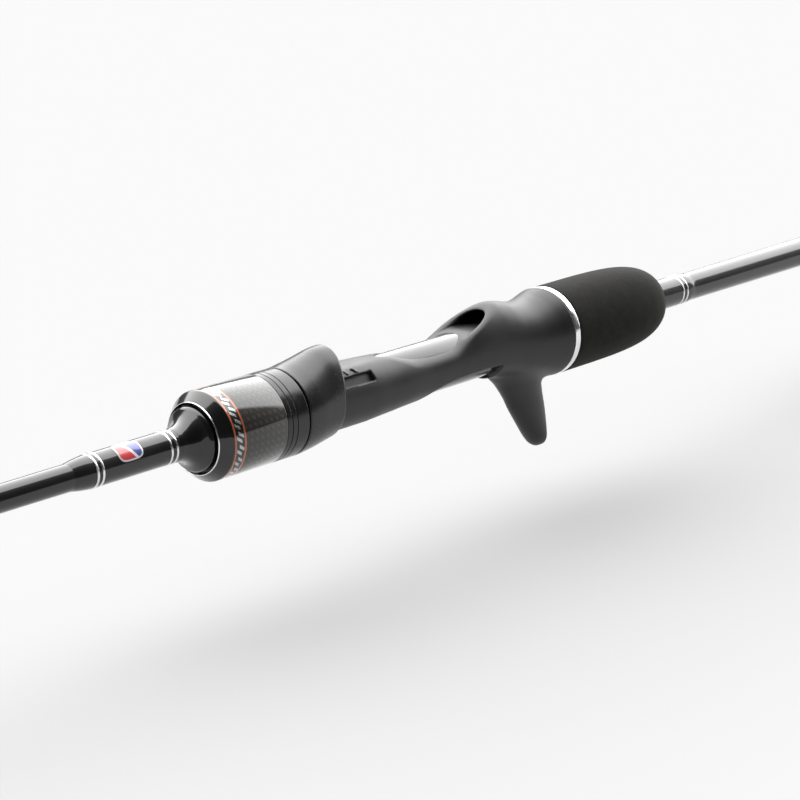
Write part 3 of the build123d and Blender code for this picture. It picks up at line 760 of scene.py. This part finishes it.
def ceramic_look():
    """Dark polished ceramic."""
    look = Look("ceramic_ring", Roughness=0.12, Coat_Weight=0.4, Coat_Roughness=0.05)
    tones = [(0.3, (0.012, 0.013, 0.016)), (0.7, (0.03, 0.032, 0.037))]
    look.to("Base Color", look.ramp(look.noise(1.5, 3), tones))
    look.to("Normal", look.bump(look.noise(0.3, 2), 0.05, 0.01))
    return look.material


GRAPHITE = graphite_look()
WRAP = wrap_look("thread_wrap", (0.003, 0.003, 0.003))
TRIM = turned_metal_look("trim_thread", (0.86, 0.87, 0.88), 0.28, 1.0, 0.3, 0.03)
FOAM = foam_look()
SEAT = moulded_look("moulded_nylon", (0.0030, 0.0032, 0.0033), 0.43)
HOOD = moulded_look("satin_paint", (0.0030, 0.0032, 0.0034), 0.26, 0.1, 0.04)
COLLAR = turned_metal_look("satin_anodised", (0.007, 0.0072, 0.0075), 0.22, 0.0, 0.2)
GLOSS = gloss_black_look("gloss_lacquer")
TUBE = gloss_black_look("tube_lacquer", 0.13)
CARBON = carbon_look()
ACCENT = accent_look()
BAND = band_look()
BADGE = badge_look()
SILVER = turned_metal_look("polished_silver", (0.93, 0.93, 0.94), 0.18)
ALLOY = turned_metal_look("machined_alloy", (0.86, 0.87, 0.88), 0.2)
STEEL = turned_metal_look("spring_steel", (0.55, 0.55, 0.56), 0.3)
FRAME = turned_metal_look("guide_titanium", (0.20, 0.20, 0.215), 0.22)
RUBBER = moulded_look("cap_rubber", (0.015, 0.015, 0.015), 0.68, 0.25, 0.3)
ARBOR = moulded_look("arbor_board", (0.30, 0.26, 0.19), 0.8, 0.3, 0.4)
CERAMIC = ceramic_look()


# ---------------------------------------------------------------- turned pieces
def covered(x0, x1, outer):
    """Outline of a sleeve from x0 to x1 of the rod's X: its bore just inside the blank's face, its outside
    through the outer (rod's X, radius) points."""
    stations = BUTT_BLANK if x1 < FERRULE_X else TIP_BLANK
    bore = [(x0, blank_r(x0))] + [(x, r) for x, r in stations if x0 < x < x1] + [(x1, blank_r(x1))]
    return [(x, r - 0.02) for x, r in bore] + list(reversed(outer))


def make_blanks():
    bore = [(x, r - BLANK_WALL) for x, r in BUTT_BLANK]
    turned("butt_blank", [BUTT_BLANK + list(reversed(bore))], "butt_section", GRAPHITE,
           ["blank_butt"], BLANK_ROUND)
    clearance = 0.05
    socket_end = FERRULE_X + SOCKET_DEPTH
    bore_x = socket_end + 4
    inner = [(FERRULE_X, on_line(BUTT_BLANK, FERRULE_X) + clearance),
             (socket_end, BUTT_BLANK[-1][1] + clearance),
             (bore_x, on_line(TIP_BLANK, bore_x) - BLANK_WALL), (ROD_END - 2, 0.3)]
    turned("tip_blank", [TIP_BLANK + list(reversed(inner))], "tip_section", GRAPHITE,
           ["blank_tip"], BLANK_ROUND)


def make_butt_end():
    """Cap with three grooves, ring, rear grip and winding check, each from where the last one ends."""
    r = 13.5
    bore = 4.5
    cap_end, ring_end, foam_end, check_end = 16, 19, 123, 127.5
    cap = [(0.5, 0, 0), (0.5, 9.4, 0.4), (0, 10.2, 0.6), (0, 12.4, 2.4), (3.4, r, 2.0)]
    for x in (6.2, 8.6, 11.0):
        cap += [(x, r, 0.25), (x + 0.3, r - 0.3, 0.2), (x + 0.9, r - 0.3, 0.2), (x + 1.2, r, 0.25)]
    cap += [(cap_end, r, 0.4), (cap_end, 4.6, 0), (2, 4.6, 0), (2, 0, 0)]
    turned("end_cap", [rounded(cap)], "butt_section", RUBBER, ["butt_cap"])
    ring = rounded([(cap_end, bore, 0), (cap_end, 13.3, 0.3), (16.6, 13.6, 0.5), (18.4, 13.4, 0.5),
                    (ring_end, 13.0, 0.3), (ring_end, bore, 0)])
    turned("end_ring", [ring], "butt_section", SILVER, ["butt_ring"])
    outer = [(ring_end, 13.0), (21, 13.2), (24, 13.35), (33, r), (45, r), (58, 13.3), (70, 12.9), (83, 12.2),
             (95, 11.3), (104, 10.45), (112, 9.6), (117, 8.9), (120, 8.2), (122, 7.3), (foam_end, 6.6)]
    grip = spline(outer, 6) + [(foam_end, bore), (ring_end, bore)]
    foam = turned("butt_foam", [grip], "butt_section", FOAM, ["rear_grip"])
    outer = [(foam_end, 6.3), (123.3, 6.5), (124.2, 6.55), (125.2, 6.3), (126.2, 5.8), (127, 5.35),
             (check_end, 4.9)]
    check = covered(foam_end, check_end, outer)
    turned("butt_check", [check], "butt_section", SILVER, ["rear_check"])


def make_mid_grip():
    """Bullet-shaped foam grip from its domed end to the ring."""
    end = low("seat_ring").x
    start = low("mid_grip").x
    bore = 4.1
    dome = [(0, 5.4), (0.15, 6.3), (0.6, 7.2), (2.0, 8.8), (4.5, 10.1), (8, 11.1), (12.5, 11.8), (17.5, 12.2),
            (22.5, 12.4), (28.5, GRIP_R)]
    outer = [(start + x, r) for x, r in dome] + [(end - 6, GRIP_R), (end - 0.6, GRIP_R)]
    outline = spline(outer, 6) + [(end - 0.15, 12.42), (end, 12.2), (end, bore), (start, bore)]
    foam = turned("seat_foam", [outline], "butt_section", FOAM, ["mid_grip"])


def make_seat_ring():
    back = low("seat_ring").x - SEAT_X
    bore = 4.0
    outline = rounded([(back, bore, 0), (back, GRIP_R, 0.25), (-0.15, GRIP_R - 0.02, 0.1),
                       (0, GRIP_R - 0.12, 0.05), (0, bore, 0)])
    turned("silver_ring", [shifted(outline)], "butt_section", SILVER, ["seat_ring"])


def trim_outline(x, surface_r):
    """Outline of a narrow trim band with rounded shoulders, standing a little proud of the wrap under it."""
    end = x + 0.6
    top = surface_r + 0.1
    bottom = surface_r - 0.3
    return rounded([(x, bottom, 0), (x, top, 0.12), (end, top, 0.12), (end, bottom, 0)], 4)


def make_rear_wrap():
    x0 = low("rear_wrap").x
    x1 = high("rear_wrap").x
    outer = [(x0, blank_r(x0) + 0.02), (x0 + 1.2, 4.2), (x0 + 2.6, 4.34), (x0 + 6, 4.38), (x1, 4.4)]
    winding = covered(x0, x1, spline(outer, 4))
    turned("rear_winding", [winding], "butt_section", WRAP, ["rear_wrap"])
    trims = [shifted(trim_outline(x, 4.36)) for x in (-64.1, -62.1)]
    turned("rear_trim_bands", trims, "butt_section", TRIM, ["rear_trims"])


def make_fore_wrap():
    x0 = low("fore_wrap").x
    x1 = high("fore_wrap").x
    outer = [(x0, 4.12), (x0 + 10, 4.1), (x0 + 20, 4.08), (x0 + 25, 4.05), (x0 + 27, 3.95), (x0 + 29, 3.72),
             (x1, blank_r(x1) + 0.02)]
    winding = covered(x0, x1, spline(outer, 5))
    turned("fore_winding", [winding], "butt_section", WRAP, ["fore_wrap"])
    trims = [shifted(trim_outline(x, 4.07)) for x in (139.5, 141.2, 162.1, 163.7)]
    turned("fore_trim_bands", trims, "butt_section", TRIM, ["fore_trims"])


def make_core_tube():
    bore = 6.2
    corners = [(TUBE_X0, bore, 0), (TUBE_X0, TUBE_R, 0.2), (TUBE_X1, TUBE_R, 0.2), (TUBE_X1, bore, 0)]
    outline = rounded(corners)
    turned("gloss_tube", [shifted(outline)], "butt_section", TUBE, ["core_tube"])


def make_front_check():
    """Horn-shaped winding check: a disc on the barrel's end, sweeping down to the blank."""
    b = BARREL_END
    disc_r = 8.05
    neck = (b + 2.3, 7.55)
    bore = 3.2
    disc = rounded([(b, 7.3, 0), (b, 7.9, 0.3), (b + 0.5, disc_r, 0.3), (b + 1.7, disc_r, 0.5), (*neck, 0)])
    horn = [neck, (b + 2.6, 7.0), (b + 3.3, 5.95), (b + 4.4, 5.05), (b + 6.0, 4.42), (b + 8.0, 4.15)]
    outline = disc[:-1] + spline(horn, 6) + [(b + 8.0, bore), (b, bore)]
    turned("horn_check", [shifted(outline)], "butt_section", GLOSS, ["front_check"])


CORE_R = 10.6
CORE_X1 = 128.6  # in front of this the core is only a lip
LIP_R = 9.0
CORE_SINK = 0.05  # how far the pieces on the core reach into it
NECK_ROOM_R = 9.75
NECK_ROOM_END = 109
SNAP_X0, SNAP_X1 = 105.7, 107.3
SNAP_R = 10.25
LINE_WIDTH = 0.5


def square(x0, x1):
    """Plain outline on the nut's core, flush with the nut's outside."""
    return shifted([(x0, CORE_R - CORE_SINK), (x0, NUT_R), (x1, NUT_R), (x1, CORE_R - CORE_SINK)])


def make_nut():
    """Core with the snap ring's groove, and the pieces on it from the grooved collar to the nose."""
    base = CORE_R - CORE_SINK
    bore = BARREL_R + 0.08
    core = rounded([
        (NUT_REAR, NECK_ROOM_R, 0), (SNAP_X0, NECK_ROOM_R, 0), (SNAP_X0, SNAP_R, 0), (SNAP_X1, SNAP_R, 0),
        (SNAP_X1, NECK_ROOM_R, 0), (NECK_ROOM_END, NECK_ROOM_R, 0), (NECK_ROOM_END, bore, 0),
        (NUT_FRONT - 0.2, bore, 0.1), (NUT_FRONT, bore + 0.1, 0.05), (NUT_FRONT, LIP_R, 0.06),
        (CORE_X1, LIP_R, 0), (CORE_X1, CORE_R, 0), (NUT_REAR, CORE_R, 0),
    ], 4)
    turned("nut_body", [shifted(core)], "nut", ALLOY, ["nut_core"])
    edge = 0.06
    step_x, step_r = NUT_REAR + 0.3, NUT_R - 0.35
    collar = [(NUT_REAR, base, 0), (NUT_REAR, step_r, 0), (step_x, step_r, 0), (step_x, NUT_R, edge)]
    for x in (107.0, 108.7):
        groove_end, groove_r = x + 0.22, NUT_R - 0.3
        collar += [(x, NUT_R, edge), (x, groove_r, 0), (groove_end, groove_r, 0), (groove_end, NUT_R, edge)]
    end = SLEEVE_X0 - 0.1
    collar += [(end, NUT_R, edge), (end, base, 0)]
    turned("nut_grip", [shifted(rounded(collar, 3))], "nut", COLLAR, ["nut_collar"], sharp=12)
    sleeve = [(SLEEVE_X0, base, 0), (SLEEVE_X0, NUT_R, 0.12), (SLEEVE_X1, NUT_R, 0), (SLEEVE_X1, base, 0)]
    turned("carbon_sleeve", [shifted(rounded(sleeve, 3))], "nut", CARBON, ["nut_sleeve"])
    band_x0 = SLEEVE_X1 + LINE_WIDTH
    band_x1 = BAND_X1 - LINE_WIDTH
    lines = [square(SLEEVE_X1, band_x0), square(band_x1, band_x1 + LINE_WIDTH)]
    turned("pin_lines", lines, "nut", ACCENT, ["accent_lines"])
    turned("marked_band", [square(band_x0, band_x1)], "nut", BAND, ["accent_band"])
    nose = rounded([(BAND_X1, base, 0), (BAND_X1, NUT_R, 0), (BAND_X1 + 0.45, NUT_R - 0.06, 0.4),
                    (BAND_X1 + 2.8, LIP_R + 0.1, 0.15), (BAND_X1 + 2.9, LIP_R, 0)], 5)
    nose += [(CORE_X1, LIP_R), (CORE_X1, base)]
    turned("nut_nose", [shifted(nose)], "nut", GLOSS, ["nut_end_ring"])


def make_emblem():
    """Thin rounded badge that follows the wrap."""
    x0, x1 = low("emblem").x, high("emblem").x
    middle = (x0 + x1) / 2
    half_x = (x1 - x0) / 2
    tilt = math.radians(BADGE_TURN)
    count = 72
    vertices = []
    # share of the full size and radius, from the middle of the face to the back
    rings = [(0.0, 4.22), (0.3, 4.22), (0.6, 4.22), (0.85, 4.22), (0.97, 4.21), (1.0, 4.16), (1.0, 4.0)]
    for scale, r in rings:
        for i in range(count):
            a = 2 * math.pi * i / count
            c, s = math.cos(a), math.sin(a)
            px = half_x * scale * math.copysign(abs(c) ** 0.55, c)
            py = BADGE_HALF * scale * math.copysign(abs(s) ** 0.55, s)
            turn = tilt + py / r
            vertices.append((middle + px, r * math.sin(turn), r * math.cos(turn)))
    faces = []
    for k in range(len(rings) - 1):
        for i in range(count):
            j = (i + 1) % count
            faces.append((k * count + i, k * count + j, (k + 1) * count + j, (k + 1) * count + i))
    last = len(rings) - 1
    faces.append([last * count + i for i in range(count)])
    piece = mesh_piece("badge", vertices, faces, "butt_section", BADGE, ["emblem"])
    edit = bmesh.new()
    edit.from_mesh(piece.data)
    bmesh.ops.remove_doubles(edit, verts=edit.verts, dist=1e-7)
    edit.to_mesh(piece.data)
    edit.free()


def make_ferrule():
    x = FERRULE_X
    end = x + 26
    outer = [(x, 3.55), (x + 0.5, 3.68), (x + 2, 3.72), (x + 12, 3.72), (x + 22, 3.68), (x + 24.5, 3.52),
             (end, blank_r(end) + 0.02)]
    winding = covered(x, end, spline(outer, 5))
    turned("ferrule_winding", [winding], "tip_section", WRAP, ["ferrule_wrap"])
    trims = [trim_outline(x + dx, 3.7) for dx in (3.0, 20.0)]
    turned("ferrule_trim_bands", trims, "tip_section", TRIM, ["ferrule_trims"])


def dress_cad_nodes():
    """Better materials for the CAD nodes that stay."""
    looks = {"arbor_rear": ARBOR, "arbor_front": ARBOR, "snap_ring": STEEL}
    for name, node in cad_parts.items():
        if name.startswith(("guide_", "tip_top_")):
            kind = name.rsplit("_", 1)[1]
            looks[name] = {"frame": FRAME, "ring": CERAMIC, "wrap": WRAP}[kind]
    for name, look in looks.items():
        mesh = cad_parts[name].data
        mesh.materials.clear()
        mesh.materials.append(look)


make_blanks()
make_butt_end()
make_mid_grip()
make_seat_ring()
make_rear_wrap()
make_core_tube()
make_reel_seat(SEAT)
make_moving_hood(HOOD)
make_nut()
make_front_check()
make_fore_wrap()
make_emblem()
make_ferrule()
dress_cad_nodes()


# ---------------------------------------------------------------- stage, light and camera
FLOOR_Z = -0.052
FLOOR_SIZE = 30.0
SOFTBOX = 5.0
SURROUND = 0.06
BACKDROP = 0.9

# the panel is where a direction points to the inner side of both planes, given by their normals
PANEL_FRONT = (-0.43, -1.0, 0.09)
PANEL_BACK = (-0.2308, 1.0, 2.731)
PANEL_SOFTNESS = 0.05

CAMERA_PLACE = (0.77279, 0.38598, 0.16772)
CAMERA_TOWARD = (-0.70788, -0.64364, -0.29094)
CAMERA_LENS = 103.5


def make_floor():
    mesh = bpy.data.meshes.new("floor")
    corners = [(x * FLOOR_SIZE, y * FLOOR_SIZE, FLOOR_Z) for x, y in ((-1, -1), (1, -1), (1, 1), (-1, 1))]
    mesh.from_pydata(corners, [], [(0, 1, 2, 3)])
    floor = bpy.data.objects.new("floor", mesh)
    bpy.context.scene.collection.objects.link(floor)
    look = Look("floor_paper", Roughness=1.0, Specular_IOR_Level=0.0)
    look.shader.inputs["Base Color"].default_value = grey(0.37)
    mesh.materials.append(look.material)


def make_light():
    """A broad soft panel overhead and behind, dark elsewhere, with a pale backdrop only for the camera."""
    world = bpy.data.worlds.new("studio")
    bpy.context.scene.world = world
    world.use_nodes = True
    tree = world.node_tree
    tree.nodes.clear()

    def node(kind, inputs=None, **settings):
        return add_node(tree, kind, inputs, **settings)

    toward = node("TexCoord").outputs["Generated"]

    def inside(plane):
        normal = Vector(plane).normalized()
        level = node("VectorMath", {0: toward, 1: normal}, operation="DOT_PRODUCT").outputs["Value"]
        inputs = {"Value": level, 1: -PANEL_SOFTNESS, 2: PANEL_SOFTNESS}
        return node("MapRange", inputs, interpolation_type="SMOOTHSTEP").outputs[0]

    both = {0: inside(PANEL_FRONT), 1: inside(PANEL_BACK)}
    panel = node("Math", both, operation="MULTIPLY").outputs[0]
    strength = node("MapRange", {"Value": panel, 3: SURROUND, 4: SOFTBOX}).outputs[0]
    lit = node("Background", {"Color": grey(1), "Strength": strength})
    seen = node("Background", {"Color": grey(BACKDROP), "Strength": 1.0})
    camera_ray = node("LightPath").outputs["Is Camera Ray"]
    mixed = node("MixShader", {0: camera_ray, 1: lit.outputs[0], 2: seen.outputs[0]})
    node("OutputWorld", {"Surface": mixed.outputs[0]})


def make_camera():
    data = bpy.data.cameras.new("camera")
    data.lens = CAMERA_LENS
    data.sensor_width = 36
    data.clip_start = 0.01
    data.clip_end = 100
    camera = bpy.data.objects.new("camera", data)
    bpy.context.scene.collection.objects.link(camera)
    camera.location = CAMERA_PLACE
    camera.rotation_mode = "QUATERNION"
    camera.rotation_quaternion = Vector(CAMERA_TOWARD).to_track_quat("-Z", "Y")
    bpy.context.scene.camera = camera


make_floor()
make_light()
make_camera()
bpy.context.scene.view_settings.view_transform = "Standard"
